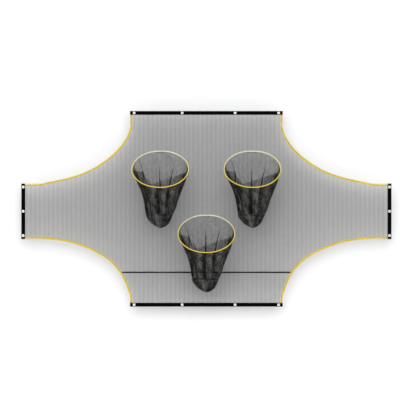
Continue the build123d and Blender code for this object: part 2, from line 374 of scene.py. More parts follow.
def tape_material(name, colour, thread_size, roughness, gloss=0.12):
    """Woven tape: ribs across a fine weave, with worn lighter and darker patches."""
    material, nodes, links, shader = node_material(name)
    place = nodes.new("ShaderNodeTexCoord")
    ribs = nodes.new("ShaderNodeTexVoronoi")
    ribs.inputs["Scale"].default_value = 1 / thread_size
    links.new(place.outputs["Object"], ribs.inputs["Vector"])
    patches = nodes.new("ShaderNodeTexNoise")
    patches.inputs["Scale"].default_value = 26.0
    patches.inputs["Detail"].default_value = 5.0
    links.new(place.outputs["Object"], patches.inputs["Vector"])
    shades = nodes.new("ShaderNodeValToRGB")
    shades.color_ramp.elements[0].position = 0.3
    shades.color_ramp.elements[0].color = (*[c * 0.78 for c in colour], 1)
    shades.color_ramp.elements[1].position = 0.75
    shades.color_ramp.elements[1].color = (*[min(1, c * 1.18) for c in colour], 1)
    links.new(patches.outputs["Fac"], shades.inputs["Fac"])
    gaps = nodes.new("ShaderNodeMix")
    gaps.data_type = "RGBA"
    gaps.blend_type = "MULTIPLY"
    gaps.inputs["Factor"].default_value = 0.45
    links.new(shades.outputs["Color"], gaps.inputs["A"])
    links.new(ribs.outputs["Distance"], gaps.inputs["B"])
    links.new(gaps.outputs["Result"], shader.inputs["Base Color"])
    bump = nodes.new("ShaderNodeBump")
    bump.inputs["Strength"].default_value = 0.5
    bump.inputs["Distance"].default_value = thread_size * 0.4
    bump.invert = True
    links.new(ribs.outputs["Distance"], bump.inputs["Height"])
    links.new(bump.outputs["Normal"], shader.inputs["Normal"])
    shader.inputs["Roughness"].default_value = roughness
    shader.inputs["Specular IOR Level"].default_value = gloss
    return material


black_tape = tape_material("black_tape", (0.006, 0.006, 0.006), 0.0009, 0.7)
black_thread = twine_material("black_thread", (0.012, 0.012, 0.012), 0.0)
for layer in ("front", "back"):
    node = f"seam_tape_{layer}"
    low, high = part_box(node)
    face = -1 if layer == "front" else 1
    inner, outer = (high.y, low.y) if face < 0 else (low.y, high.y)
    along = np.arange(low.x, high.x, seam_tape_step)
    centre = (low.z + high.z) / 2 + seam_tape_wave * np.sin(along * 31 + face) * np.sin(along * 7.3)
    line = np.stack([along, hang(along, centre), centre], 1)
    half, row = seam_tape_height / 2, seam_row_in
    profile = [
        (-half, inner), (-half, outer * 0.9), (-half + row - 0.0008, outer), (-half + row, outer * 0.86),
        (-half + row + 0.0008, outer), (half - row - 0.0008, outer), (half - row, outer * 0.86),
        (half - row + 0.0008, outer), (half, outer * 0.9), (half, inner),
    ]
    tape = mesh_piece(f"seam_strip_{layer}", *band(line, (0, 0, 1), profile))
    tape.data.materials.append(black_tape)
    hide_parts(node)
    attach(tape, "net")
    at = np.arange(low.x + seam_end_margin, high.x - seam_end_margin, seam_stitch_pitch)
    here = np.interp(at, along, centre)
    starts = []
    for edge in (-half + row, half - row):
        z = here + edge
        starts.append(np.stack([at, hang(at, z) + outer * stitch_level, z], 1))
    starts = np.concatenate(starts)
    ways = np.tile((1.0, 0, 0), (len(starts), 1))
    sewing = stitches(f"seam_stitches_{layer}", starts, ways, 0.0006)
    sewing.data.materials.append(black_thread)
    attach(sewing, "net")


# Webbing: 38 mm black polyester webbing folded over each straight hem, so that it makes a
# rounded outer edge, and sewn through with two rows of lockstitch.
webbing_step = 0.008
webbing_row_in = 0.0052
webbing_stitch_pitch = 0.0046
webbing_end_margin = 0.004
webbing_wobble = 0.0004
black_webbing = tape_material("black_webbing", (0.002, 0.002, 0.002), 0.0014, 0.9, gloss=0.02)
webbing_sides = {
    "top": ((1, 0, 0), (0, 0, 1)),
    "bottom": ((1, 0, 0), (0, 0, -1)),
    "left": ((0, 0, 1), (-1, 0, 0)),
    "right": ((0, 0, 1), (1, 0, 0)),
}
for name, (along_way, out_way) in webbing_sides.items():
    low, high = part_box(f"{name}_webbing")
    along_way, out_way = np.array(along_way, float), np.array(out_way, float)
    corner_low, corner_high = np.array(low), np.array(high)
    length = (corner_high - corner_low) @ along_way
    width = abs((corner_high - corner_low) @ out_way)
    thick = high.y - low.y
    centre = (corner_low + corner_high) / 2
    run = np.linspace(-length / 2, length / 2, int(length / webbing_step))
    line = centre + run[:, None] * along_way
    line += out_way * (webbing_wobble * ripple(run, run, waves(len(name), 5, 0.03, 0.2)))[:, None]
    line[:, 1] = hang(line[:, 0], line[:, 2])
    half, skin = width / 2, thick / 2
    groove, row = 0.8, webbing_row_in
    front = [
        (-half + 0.0002, -0.55 * skin), (-half + 0.0008, -0.97 * skin),
        (-half + row - 0.001, -skin), (-half + row, -groove * skin), (-half + row + 0.001, -skin),
        (half - row - 0.001, -skin), (half - row, -groove * skin), (half - row + 0.001, -skin),
        (half - 0.0022, -0.97 * skin), (half - 0.0008, -0.72 * skin), (half, 0.0),
    ]
    back = [(a, -b) for a, b in reversed(front[:-1])]
    strip = mesh_piece(f"{name}_web", *band(line, out_way, front + back))
    strip.data.materials.append(black_webbing)
    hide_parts(f"{name}_webbing")
    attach(strip, "net")
    stitched = length / 2 - webbing_end_margin
    at = np.arange(-stitched, stitched, webbing_stitch_pitch)
    starts = []
    for edge in (-half + row, half - row):
        for face in (-1, 1):
            points = centre + at[:, None] * along_way + out_way * edge
            points[:, 1] = hang(points[:, 0], points[:, 2]) + face * skin * stitch_level
            starts.append(points)
    starts = np.concatenate(starts)
    sewing = stitches(f"{name}_web_stitches", starts, np.tile(along_way, (len(starts), 1)), 0.0008)
    sewing.data.materials.append(black_thread)
    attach(sewing, "net")


# Bindings: golden yellow grosgrain tape folded over each scooped corner and sewn down
# along its inner edge. It follows the cut edge of the net and puckers round the curve.
binding_inward = 0.0160
binding_skin = 0.0021
binding_row_in = 0.0026
binding_step = 0.009
binding_tuck = 0.008
binding_end_margin = 0.012
binding_pucker = 0.0007
binding_stitch_pitch = 0.0040
golden_tape = tape_material("golden_tape", (0.72, 0.53, 0.010), 0.0008, 0.6)
golden_thread = twine_material("golden_thread", (0.62, 0.42, 0.05), 0.0)
panel_points = np.concatenate(
    [[v.co[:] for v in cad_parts[node].data.vertices] for node in panel_areas]
)
field_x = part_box("right_webbing")[0].x
field_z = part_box("top_webbing")[0].z
in_field = (abs(panel_points[:, 0]) < field_x - 1e-4) & (abs(panel_points[:, 2]) < field_z - 1e-4)
cut_edge = panel_points[in_field & (panel_points[:, 1] < 0)]
corners = {
    "upper_left": (-1, 1),
    "upper_right": (1, 1),
    "lower_left": (-1, -1),
    "lower_right": (1, -1),
}
for name, (side, up) in corners.items():
    here = cut_edge[(cut_edge[:, 0] * side > 0) & (cut_edge[:, 2] * up > 0)][:, [0, 2]]
    scoop = here - np.array((side * field_x, up * field_z))
    order = np.argsort(np.arctan2(-up * scoop[:, 1], -side * scoop[:, 0]))
    here = here[order]
    here = here[np.r_[True, np.linalg.norm(np.diff(here, axis=0), axis=1) > 1e-4]]
    long_tip = (here[0, 0], up * (field_z + binding_tuck))
    side_tip = (side * (field_x + binding_tuck), here[-1, 1])
    here = np.vstack([long_tip, here, side_tip])
    travel = np.r_[0, np.cumsum(np.linalg.norm(np.diff(here, axis=0), axis=1))]
    at = np.linspace(0, travel[-1], int(travel[-1] / binding_step))
    path = np.stack([np.interp(at, travel, here[:, 0]), np.interp(at, travel, here[:, 1])], 1)
    for _ in range(3):
        path[1:-1] = (path[:-2] + 2 * path[1:-1] + path[2:]) / 4
    way = np.gradient(path, axis=0)
    way /= np.linalg.norm(way, axis=1)[:, None]
    outward = np.stack([-way[:, 1], way[:, 0]], 1) * side * up
    line = np.stack([path[:, 0], hang(path[:, 0], path[:, 1]), path[:, 1]], 1)
    wide = np.stack([outward[:, 0], np.zeros(len(path)), outward[:, 1]], 1)
    puckers = waves(len(name) + side + 2 * up, 6, 0.02, 0.07)
    line[:, 1] += binding_pucker * 0.5 * ripple(at, at * 0, puckers)
    swell = 1 + 0.06 * ripple(at * 0, at, puckers)
    wide *= swell[:, None]
    skin, inner, row = binding_skin, binding_inward, binding_row_in
    front = [
        (-inner, -0.5 * skin), (-inner + 0.0006, -skin), (-inner + row - 0.0009, -skin),
        (-inner + row, -0.8 * skin), (-inner + row + 0.0009, -skin), (-0.0012, -skin),
        (0.0005, -0.75 * skin), (0.0010, 0.0),
    ]
    back = [(a, -b) for a, b in reversed(front[:-1])]
    tape = mesh_piece(f"{name}_edge_tape", *band(line, wide, front + back))
    tape.data.materials.append(golden_tape)
    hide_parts(f"{name}_binding")
    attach(tape, "net")
    marks = np.arange(binding_end_margin, at[-1] - binding_end_margin, binding_stitch_pitch)
    row_line = line + wide * (row - inner)
    row_points = np.stack([np.interp(marks, at, row_line[:, k]) for k in range(3)], 1)
    off_net = np.array((0, skin * stitch_level, 0))
    starts = np.concatenate([row_points - off_net, row_points + off_net])
    row_way = np.stack([np.interp(marks, at, way[:, 0]), marks * 0, np.interp(marks, at, way[:, 1])], 1)
    sewing = stitches(f"{name}_edge_stitches", starts, np.tile(row_way, (2, 1)), 0.0007)
    sewing.data.materials.append(golden_thread)
    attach(sewing, "net")


# Eyelets: nickel-plated brass. Each has a domed flange in front, a barrel through the
# webbing, and an end rolled over a plain washer behind. They are pressed in place.
eyelet_profile = (
    (6.0, 3.5), (6.0, -2.9), (6.35, -3.35), (7.1, -3.5), (9.6, -3.3), (11.7, -2.85), (12.5, -2.45),
    (12.3, -2.35), (7.0, -2.35), (7.0, 3.4), (8.3, 3.42), (8.5, 3.72), (7.7, 3.98), (6.5, 3.95),
)
washer_profile = ((7.05, 2.35), (12.3, 2.35), (12.5, 2.6), (12.1, 3.1), (9.2, 3.38), (7.05, 3.4))
eyelet_turns = 36
long_edge_places = (-0.714, -0.239, 0.284, 0.714)
side_edge_places = (-0.240, 0.0, 0.240)


def turned(profile, centres):
    """A closed profile in millimetres, (out from the axis, along +Y), turned about centres."""
    profile = np.array(profile) / 1000
    angle = np.linspace(0, 2 * math.pi, eyelet_turns, endpoint=False)
    points, faces = [], []
    k = len(profile)
    for centre in centres:
        base = len(points)
        ring = [
            (centre[0] + r * math.cos(a), centre[1] + y, centre[2] + r * math.sin(a))
            for a in angle for r, y in profile
        ]
        points.extend(ring)
        for i in range(eyelet_turns):
            for j in range(k):
                here, ahead = base + i * k, base + (i + 1) % eyelet_turns * k
                m = (j + 1) % k
                faces.append((here + j, ahead + j, ahead + m, here + m))
    return points, faces


nickel, nodes, links, shader = node_material("nickel_plate")
place = nodes.new("ShaderNodeTexCoord")
tarnish = nodes.new("ShaderNodeTexNoise")
tarnish.inputs["Scale"].default_value = 220.0
tarnish.inputs["Detail"].default_value = 4.0
links.new(place.outputs["Object"], tarnish.inputs["Vector"])
shades = nodes.new("ShaderNodeValToRGB")
shades.color_ramp.elements[0].color = (0.90, 0.88, 0.80, 1)
shades.color_ramp.elements[1].color = (1.0, 0.99, 0.94, 1)
links.new(tarnish.outputs["Fac"], shades.inputs["Fac"])
links.new(shades.outputs["Color"], shader.inputs["Base Color"])
dull = nodes.new("ShaderNodeMapRange")
dull.inputs["To Min"].default_value = 0.18
dull.inputs["To Max"].default_value = 0.42
links.new(tarnish.outputs["Fac"], dull.inputs["Value"])
links.new(dull.outputs["Result"], shader.inputs["Roughness"])
shader.inputs["Metallic"].default_value = 0.25
for name, (along_way, out_way) in webbing_sides.items():
    low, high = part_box(f"{name}_webbing")
    centre = (low + high) / 2
    places = long_edge_places if along_way[0] else side_edge_places
    centres = []
    for place_along in places:
        x = centre.x + place_along * along_way[0]
        z = centre.z + place_along * along_way[2]
        centres.append((x, float(hang(x, z)), z))
    rings = mesh_piece(f"{name}_eyelet_rings", *turned(eyelet_profile, centres))
    backs = mesh_piece(f"{name}_eyelet_backs", *turned(washer_profile, centres))
    for piece, node in ((rings, f"{name}_eyelets"), (backs, f"{name}_eyelet_washers")):
        piece.data.materials.append(nickel)
        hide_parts(node)
        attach(piece, "net")


# Hoops: sprung steel rod in two lengths, joined by crimped ferrules, inside a sleeve of
# yellow ripstop. The sleeve is gathered a little; its paler colour towards the net, along the
# hoop's top, is a painted highlight.
hoop_radius = 0.277
hoop_depth = 0.548
hoop_shoulder = 0.130
hoop_flat = 0.0416
hoop_tilt = math.radians(48.9)
sleeve_radius = 0.00575
sleeve_sides = 20
gather_depth = 0.0003
gather_length = 0.011
gather_waves = 9
sleeve_thinning = 0.85
hinge_depth = 0.00845
hoop_steps = 900
baskets = ("left", "right", "lower")


def hinge_point(name):
    """Middle of a hoop's flat top, where the hinge loop holds it."""
    low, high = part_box(f"{name}_hinge_loop")
    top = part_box(f"{name}_hoop_sleeve")[1].z
    return np.array(((low.x + high.x) / 2, -hinge_depth, top - sleeve_radius))


def hoop_outline():
    """Across and down coordinates of points round a hoop, from one side round its front."""
    turn = math.acos(hoop_flat / (hoop_radius - hoop_shoulder))
    centre = hoop_depth - hoop_radius
    around = np.linspace(-turn, math.pi + turn, 400)
    left = np.linspace(math.pi + turn, 1.5 * math.pi, 40)[1:]
    right = np.linspace(1.5 * math.pi, 2 * math.pi - turn, 40)[:-1]
    across = [
        hoop_radius * np.cos(around),
        -hoop_flat + hoop_shoulder * np.cos(left),
        hoop_flat + hoop_shoulder * np.cos(right),
    ]
    down = [
        centre + hoop_radius * np.sin(around),
        hoop_shoulder + hoop_shoulder * np.sin(left),
        hoop_shoulder + hoop_shoulder * np.sin(right),
    ]
    return np.concatenate(across), np.concatenate(down)


def round_tube(line, side, up, radii, name):
    """A closed ring of tube along a closed line; radii is one row of radii for each point."""
    n, k = radii.shape
    angle = np.linspace(0, 2 * math.pi, k, endpoint=False)
    around = side[:, None] * np.cos(angle)[None, :, None] + up[:, None] * np.sin(angle)[None, :, None]
    points = (line[:, None] + around * radii[:, :, None]).reshape(-1, 3)
    a = np.arange(n)[:, None]
    b = (a + 1) % n
    j = np.arange(k)[None]
    m = (j + 1) % k
    faces = np.stack([a * k + j, a * k + m, b * k + m, b * k + j], -1).reshape(-1, 4)
    return mesh_piece(name, points, faces.tolist())


down_way = np.array((0, -math.sin(hoop_tilt), -math.cos(hoop_tilt)))
over_way = np.array((0, -math.cos(hoop_tilt), math.sin(hoop_tilt)))
outline_x, outline_v = hoop_outline()
travel = np.hypot(np.diff(np.r_[outline_x, outline_x[0]]), np.diff(np.r_[outline_v, outline_v[0]]))
travel = np.r_[0, np.cumsum(travel)]
hoop_length = travel[-1]
hoop_at = np.linspace(0, hoop_length, hoop_steps, endpoint=False)
hoop_x = np.interp(hoop_at, travel, np.r_[outline_x, outline_x[0]])
hoop_v = np.interp(hoop_at, travel, np.r_[outline_v, outline_v[0]])
hoop_line = hoop_x[:, None] * np.array((1.0, 0, 0)) + hoop_v[:, None] * down_way
hoop_way = np.roll(hoop_line, -1, 0) - np.roll(hoop_line, 1, 0)
hoop_way /= np.linalg.norm(hoop_way, axis=1)[:, None]
hoop_side = np.cross(hoop_way, over_way)

yellow_sleeve, nodes, links, shader = node_material("yellow_sleeve")
place = nodes.new("ShaderNodeTexCoord")
apart = nodes.new("ShaderNodeSeparateXYZ")
links.new(place.outputs["Object"], apart.inputs["Vector"])
# Painted highlight: the sleeve's colour turns paler towards the net, along the hoop's top
highlight_share = nodes.new("ShaderNodeMapRange")
highlight_share.inputs["From Min"].default_value = -0.30
highlight_share.inputs["From Max"].default_value = -0.02
links.new(apart.outputs["Y"], highlight_share.inputs["Value"])
shades = nodes.new("ShaderNodeValToRGB")
shades.color_ramp.elements[0].color = (0.66, 0.50, 0.045, 1)
shades.color_ramp.elements[1].color = (0.76, 0.71, 0.42, 1)
links.new(highlight_share.outputs["Result"], shades.inputs["Fac"])
dust = nodes.new("ShaderNodeTexNoise")
dust.inputs["Scale"].default_value = 60.0
dust.inputs["Detail"].default_value = 5.0
links.new(place.outputs["Object"], dust.inputs["Vector"])
worn = nodes.new("ShaderNodeMix")
worn.data_type = "RGBA"
worn.blend_type = "OVERLAY"
worn.inputs["Factor"].default_value = 0.25
links.new(shades.outputs["Color"], worn.inputs["A"])
links.new(dust.outputs["Color"], worn.inputs["B"])
links.new(worn.outputs["Result"], shader.inputs["Base Color"])
weave = nodes.new("ShaderNodeTexVoronoi")
weave.inputs["Scale"].default_value = 900.0
links.new(place.outputs["Object"], weave.inputs["Vector"])
bump = nodes.new("ShaderNodeBump")
bump.inputs["Strength"].default_value = 0.4
bump.inputs["Distance"].default_value = 0.0004
links.new(weave.outputs["Distance"], bump.inputs["Height"])
links.new(bump.outputs["Normal"], shader.inputs["Normal"])
shader.inputs["Roughness"].default_value = 0.55
shader.inputs["Specular IOR Level"].default_value = 0.25

spring_steel, nodes, links, shader = node_material("spring_steel")
place = nodes.new("ShaderNodeTexCoord")
scale = nodes.new("ShaderNodeTexNoise")
scale.inputs["Scale"].default_value = 180.0
links.new(place.outputs["Object"], scale.inputs["Vector"])
shades = nodes.new("ShaderNodeValToRGB")
shades.color_ramp.elements[0].color = (0.16, 0.16, 0.17, 1)
shades.color_ramp.elements[1].color = (0.42, 0.42, 0.43, 1)
links.new(scale.outputs["Fac"], shades.inputs["Fac"])
links.new(shades.outputs["Color"], shader.inputs["Base Color"])
shader.inputs["Metallic"].default_value = 0.9
shader.inputs["Roughness"].default_value = 0.35

for name in baskets:
    start = hinge_point(name)
    random = np.random.default_rng(len(name))
    angle = np.linspace(0, 2 * math.pi, sleeve_sides, endpoint=False)
    gather = np.zeros((len(hoop_at), sleeve_sides))
    for _ in range(gather_waves):
        length = gather_length * random.uniform(0.6, 2.2)
        turns = max(1, round(hoop_length / length))
        lean = random.integers(-2, 3)
        phase = random.uniform(0, 6.28)
        round_way = 2 * math.pi * turns * hoop_at[:, None] / hoop_length
        gather += np.sin(round_way + lean * angle[None] + phase)
    seam = np.exp(-(((angle - 1.5 * math.pi) / 0.22) ** 2))[None] * 0.0006
    radii = sleeve_thinning * sleeve_radius - gather_depth * (0.6 - gather / 6) + seam
    hoop_up = np.tile(over_way, (hoop_steps, 1))
    sleeve = round_tube(start + hoop_line, hoop_side, hoop_up, radii, f"{name}_sleeve")
    sleeve.data.materials.append(yellow_sleeve)
    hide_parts(f"{name}_hoop_sleeve")
    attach(sleeve, f"{name}_basket")
    for part in ("hoop_upper_rod", "hoop_lower_rod", "hoop_ferrules"):
        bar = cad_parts[f"{name}_{part}"]
        bar.data.materials.clear()
        bar.data.materials.append(spring_steel)


# Hinge loops: a strip of pale yellow tape looped round each hoop's flat top, with both ends
# sewn down to the net behind it. The hoop turns in it when it is folded flat.
loop_radius = 0.00665
loop_skin = 0.00055
loop_tab = 0.0225
loop_end_margin = 0.004
loop_stitch_pitch = 0.0045
loop_stitch_drops = (0.013, 0.019)
pale_tape = tape_material("pale_tape", (0.85, 0.80, 0.52), 0.0008, 0.6)
grey_tape = tape_material("grey_tape", (0.42, 0.42, 0.40), 0.0008, 0.7)
grey_thread = twine_material("grey_thread", (0.34, 0.34, 0.33), 0.0)
for name in baskets:
    start = hinge_point(name)
    low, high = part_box(f"{name}_hinge_loop")
    back_layer = [(loop_radius, z) for z in np.linspace(-loop_tab, 0, 8)]
    turn = np.radians(np.linspace(12, 300, 30))
    over = [(loop_radius * math.cos(a), loop_radius * math.sin(a)) for a in turn]
    front_y = loop_radius - 2 * loop_skin - 0.0001
    front_layer = [(front_y, z) for z in np.linspace(-0.0085, -loop_tab, 8)]
    path = np.array(back_layer + over + front_layer)
    way = np.gradient(path, axis=0)
    way /= np.linalg.norm(way, axis=1)[:, None]
    off = np.stack([way[:, 1], -way[:, 0]], 1) * loop_skin
    ring = np.concatenate([path + off, (path - off)[::-1]])
    along = np.linspace(low.x + 0.0003, high.x - 0.0003, 41)
    swell = 1 + 0.02 * np.sin(along * 260)
    points = np.zeros((len(along), len(ring), 3))
    points[:, :, 0] = along[:, None]
    points[:, :, 1] = start[1] + ring[None, :, 0] * np.where(ring[None, :, 0] > 0, 1, swell[:, None])
    points[:, :, 2] = start[2] + ring[None, :, 1]
    k = len(ring)
    base = k * np.arange(len(along) - 1)[:, None]
    j = np.arange(k)[None]
    m = (j + 1) % k
    faces = np.stack([base + j, base + m, base + k + m, base + k + j], -1).reshape(-1, 4).tolist()
    last = k * (len(along) - 1)
    for i in range(k // 2 - 1):
        cap = [i, k - 1 - i, k - 2 - i, i + 1]
        faces.append(cap)
        faces.append([last + v for v in reversed(cap)])
    loop = mesh_piece(f"{name}_loop", points.reshape(-1, 3), faces)
    loop.data.materials.append(pale_tape)
    loop.data.materials.append(grey_tape)
    middles = np.array([f.center[:] for f in loop.data.polygons])
    on_tab = middles[:, 2] < start[2] - loop_radius
    loop.data.polygons.foreach_set("material_index", on_tab.astype(int).tolist())
    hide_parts(f"{name}_hinge_loop")
    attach(loop, "net")
    at = np.arange(low.x + loop_end_margin, high.x - loop_end_margin, loop_stitch_pitch)
    depth = np.full(len(at), start[1] + front_y - loop_skin)
    rows = [np.stack([at, depth, np.full(len(at), start[2] - drop)], 1) for drop in loop_stitch_drops]
    starts = np.concatenate(rows)
    ways = np.tile((1.0, 0, 0), (len(starts), 1))
    sewing = stitches(f"{name}_loop_stitches", starts, ways, 0.0007)
    sewing.data.materials.append(grey_thread)
    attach(sewing, "net")


# Bags: black mesh gathered on to each hoop and pleated down to a seam, with more cloth in
# front than behind, then a short gathered bottom. The excess lies doubled low at the back.
bag_thread_thickness = 0.0012
front_thread = 0.0025
back_thread = 0.0008
front_columns = 124
back_columns = 66
bag_rows = 54
doubled_column = 0.0024
doubled_row = 0.0026
pleat_thread = 0.0022
crease_depth = 0.0035

# The bag's shape at five places down it: how far out and up its back and front lie from the
# hinge, and how far it reaches to the left and the right
bag_knots = (0.0, 0.317, 0.676, 0.859, 1.0)
back_knots = (
    (-0.0019, -0.0101), (-0.013, -0.200), (-0.0155, -0.420), (-0.024, -0.530), (-0.040, -0.622),
)
front_knots = (
    (-0.4172, -0.3650), (-0.375, -0.445), (-0.320, -0.540), (-0.300, -0.590), (-0.285, -0.622),
)
left_knots = (0.277, 0.213, 0.161, 0.150, 0.138)
right_knots = (0.277, 0.230, 0.174, 0.149, 0.121)

# Pleats: the angle round the bag, width in degrees and depth, and for those at the back how
# far down each begins
front_pleats = (
    (97, 5, 0.040), (64, 5, 0.044), (77, 5, -0.010), (143, 8, 0.040), (122, 5, 0.016),
    (110, 5, 0.012), (160, 5, 0.016), (45, 6, 0.022), (28, 5, 0.014), (84, 2, 0.006),
)
back_pleats = (
    (219, 3.0, 0.020, 0.03), (268, 2.6, 0.026, 0.22), (301, 3.2, 0.024, 0.2), (245, 3, 0.006, 0.1),
)

# Threads bunched in the back's three main pleats: angle, lean, where they begin, how fast
# they spread and how far; then the upper edge, across and up, of the cloth that lies doubled
pleat_threads = ((224, -22, 0.10, 0.6, 2.6), (268, 0, 0.22, 2.5, 4.0), (306, -18, 0.20, 1.5, 3.6))
doubled_edge = ((-0.28, -0.185), (-0.18, -0.205), (-0.091, -0.322), (0.265, -0.200), (0.28, -0.18))


def eased(at, knots, values):
    """A smooth curve through values at knots."""
    knots, values = np.array(knots), np.array(values, float)
    slopes = np.gradient(values, knots, axis=0)
    k = np.clip(np.searchsorted(knots, at, side="right") - 1, 0, len(knots) - 2)
    gap = knots[k + 1] - knots[k]
    t = (at - knots[k]) / gap
    shape = (-1,) + (1,) * (values.ndim - 1)
    t, gap = t.reshape(shape), gap.reshape(shape)
    start, end = values[k], values[k + 1]
    rise, fall = slopes[k] * gap, slopes[k + 1] * gap
    return (
        start * (2 * t**3 - 3 * t**2 + 1) + rise * (t**3 - 2 * t**2 + t)
        + end * (3 * t**2 - 2 * t**3) + fall * (t**3 - t**2)
    )


def between(angle, centre):
    """Degrees from a centre angle, the short way round."""
    return (angle - centre + 180) % 360 - 180


def hoop_share(angle):
    """Across and down shares of the hoop's own line at angles about its centre."""
    centre = hoop_depth - hoop_radius
    polar = np.degrees(np.arctan2(outline_v - centre, outline_x)) % 360
    order = np.argsort(polar)
    across = np.interp(angle % 360, polar[order], outline_x[order], period=360)
    down = np.interp(angle % 360, polar[order], outline_v[order], period=360)
    return across / hoop_radius, down / hoop_depth


def bag_surface(angle, along):
    """Points of the bag's wall, from the hinge point; angle 90 is its front, along 1 its seam."""
    angle, along = np.broadcast_arrays(angle, along)
    shape = angle.shape
    angle, along = angle.ravel(), along.ravel()
    turn = np.radians(angle)
    back, front = eased(along, bag_knots, back_knots), eased(along, bag_knots, front_knots)
    left, right = eased(along, bag_knots, left_knots), eased(along, bag_knots, right_knots)
    round_x, round_f = np.cos(turn), (1 + np.sin(turn)) / 2
    rim_x, rim_f = hoop_share(angle)
    hold = np.clip(1 - along / 0.25, 0, 1) ** 2
    share_x = hold * rim_x + (1 - hold) * round_x
    share_f = hold * rim_f + (1 - hold) * round_f
    x = np.where(share_x > 0, right, left) * share_x
    sunk = np.zeros_like(along)
    for centre, width, depth in front_pleats:
        dip = np.clip(1 - abs(between(angle, centre)) / (width * 1.6), 0, 1) ** 1.7
        sunk += dip * depth * (1 - np.exp(-along / 0.16))
    for centre, width, depth, begins in back_pleats:
        dip = np.clip(1 - abs(between(angle, centre)) / (width * (0.6 + along)), 0, 1) ** 1.5
        sunk += dip * depth * np.clip((along - begins) / 0.35, 0, 1)
    creases = (
        np.sin(turn * 17 + 5 * along + 1) + np.sin(turn * 29 - 4 * along)
        + 0.7 * np.sin(turn * 7 + 11 * along) + 0.6 * np.sin(turn * 11 - 19 * along + 2)
    )
    sunk += crease_depth / 2 * (1 - np.exp(-along / 0.1)) * creases
    middle = (back + front) / 2
    spread = (front - back) / 2
    y = middle[:, 0] + spread[:, 0] * (2 * share_f - 1)
    z = middle[:, 1] + spread[:, 1] * (2 * share_f - 1)
    to_middle = np.stack([-x, middle[:, 0] - y, middle[:, 1] - z], 1)
    to_middle /= np.linalg.norm(to_middle, axis=1)[:, None] + 1e-9
    points = np.stack([x, y, z], 1) + to_middle * sunk[:, None]
    return points.reshape(*shape, 3)


def front_share(angle):
    """How much of a bag's front lies at an angle, from 0 behind to 1 in front."""
    return np.clip((np.sin(np.radians(angle)) + 0.35) / 0.5, 0, 1)


def even_columns(surface, count, dense, level, back_level):
    """Angles that space threads evenly round a cloth's pleats, dense times as close in front."""
    fine = np.arange(0, 360, 0.25)
    front = front_share(fine)
    ring = surface(fine, back_level + (level - back_level) * front)
    steps = np.linalg.norm(np.roll(ring, -1, 0) - ring, axis=1)
    weight = np.cumsum(steps * (1 + (dense - 1) * front))
    return np.interp(np.arange(count) * weight[-1] / count, np.r_[0, weight], np.r_[fine, 360.0])


def threads(lines, normals, widths, closed):
    """Flat threads along lines of points on a surface, with its normals and their widths."""
    points, faces, count = [], [], 0
    for line, normal, width in zip(lines, normals, widths):
        n = len(line)
        way = np.roll(line, -1, 0) - np.roll(line, 1, 0)
        if not closed:
            way[0], way[-1] = line[1] - line[0], line[-1] - line[-2]
        side = np.cross(way, normal)
        side /= np.linalg.norm(side, axis=1)[:, None] + 1e-12
        side *= width[:, None] / 2
        deep = normal * bag_thread_thickness / 2
        left, right = line - side, line + side
        ring = np.stack([left - deep, right - deep, right + deep, left + deep], 1)
        points.append(ring.reshape(-1, 3))
        a = np.arange(n if closed else n - 1)[:, None]
        b = (a + 1) % n
        k = np.arange(4)[None]
        m = (k + 1) % 4
        faces.append(count + np.stack([a * 4 + k, a * 4 + m, b * 4 + m, b * 4 + k], -1).reshape(-1, 4))
        if not closed:
            last = 4 * (n - 1)
            faces.append(count + np.array([[3, 2, 1, 0], [last, last + 1, last + 2, last + 3]]))
        count += 4 * n
    return np.concatenate(points), np.concatenate(faces)


def surface_grid(surface, angle, along):
    """Points and outward normals of a surface at angles and places down it."""
    grid = surface(angle, along)
    round_way = surface(angle + 0.2, along) - surface(angle - 0.2, along)
    above, below = np.clip(along - 0.004, 0, 1), np.clip(along + 0.004, 0, 1)
    down = surface(angle, below) - surface(angle, above)
    normal = np.cross(down, round_way)
    normal /= np.linalg.norm(normal, axis=-1)[..., None] + 1e-12
    return grid, normal


def joined(parts):
    """Several arrays of points and faces as one."""
    points, faces, count = [], [], 0
    for more_points, more_faces in parts:
        points.append(more_points)
        faces.append(more_faces + count)
        count += len(more_points)
    return np.concatenate(points), np.concatenate(faces)


def runs(keep, shortest):
    """Start and end of each unbroken run of true values, leaving out those that are too short."""
    edges = np.flatnonzero(np.diff(np.r_[0, keep.astype(int), 0]))
    return [(a, b) for a, b in zip(edges[::2], edges[1::2]) if b - a >= shortest]


def thread_width(angle, along):
    """Wider, denser threads in front than behind, uneven where the mesh is rubbed."""
    front = front_share(angle)
    worn = ripple(np.radians(angle) * 0.25, along * 0.6, waves(44, 9, 0.04, 0.16))
    uneven = 1 + 0.9 * (1 - front) * worn
    return (back_thread + (front_thread - back_thread) * front) * np.clip(uneven, 0.45, 1.9)


bag_angles = even_columns(bag_surface, front_columns + back_columns, 1.9, 0.6, 0.3)
row_places = np.linspace(0.004, 0.996, bag_rows)
rows, row_normals = surface_grid(bag_surface, bag_angles[None], row_places[:, None])
row_widths = [thread_width(bag_angles, place) for place in row_places]
row_lines = threads(rows, row_normals, row_widths, True)
column_places = np.linspace(0, 1, 31)
grid, normals = surface_grid(bag_surface, bag_angles[None], column_places[:, None])
widths = [thread_width(angle, column_places) for angle in bag_angles]
column_lines = threads(grid.transpose(1, 0, 2), normals.transpose(1, 0, 2), widths, False)

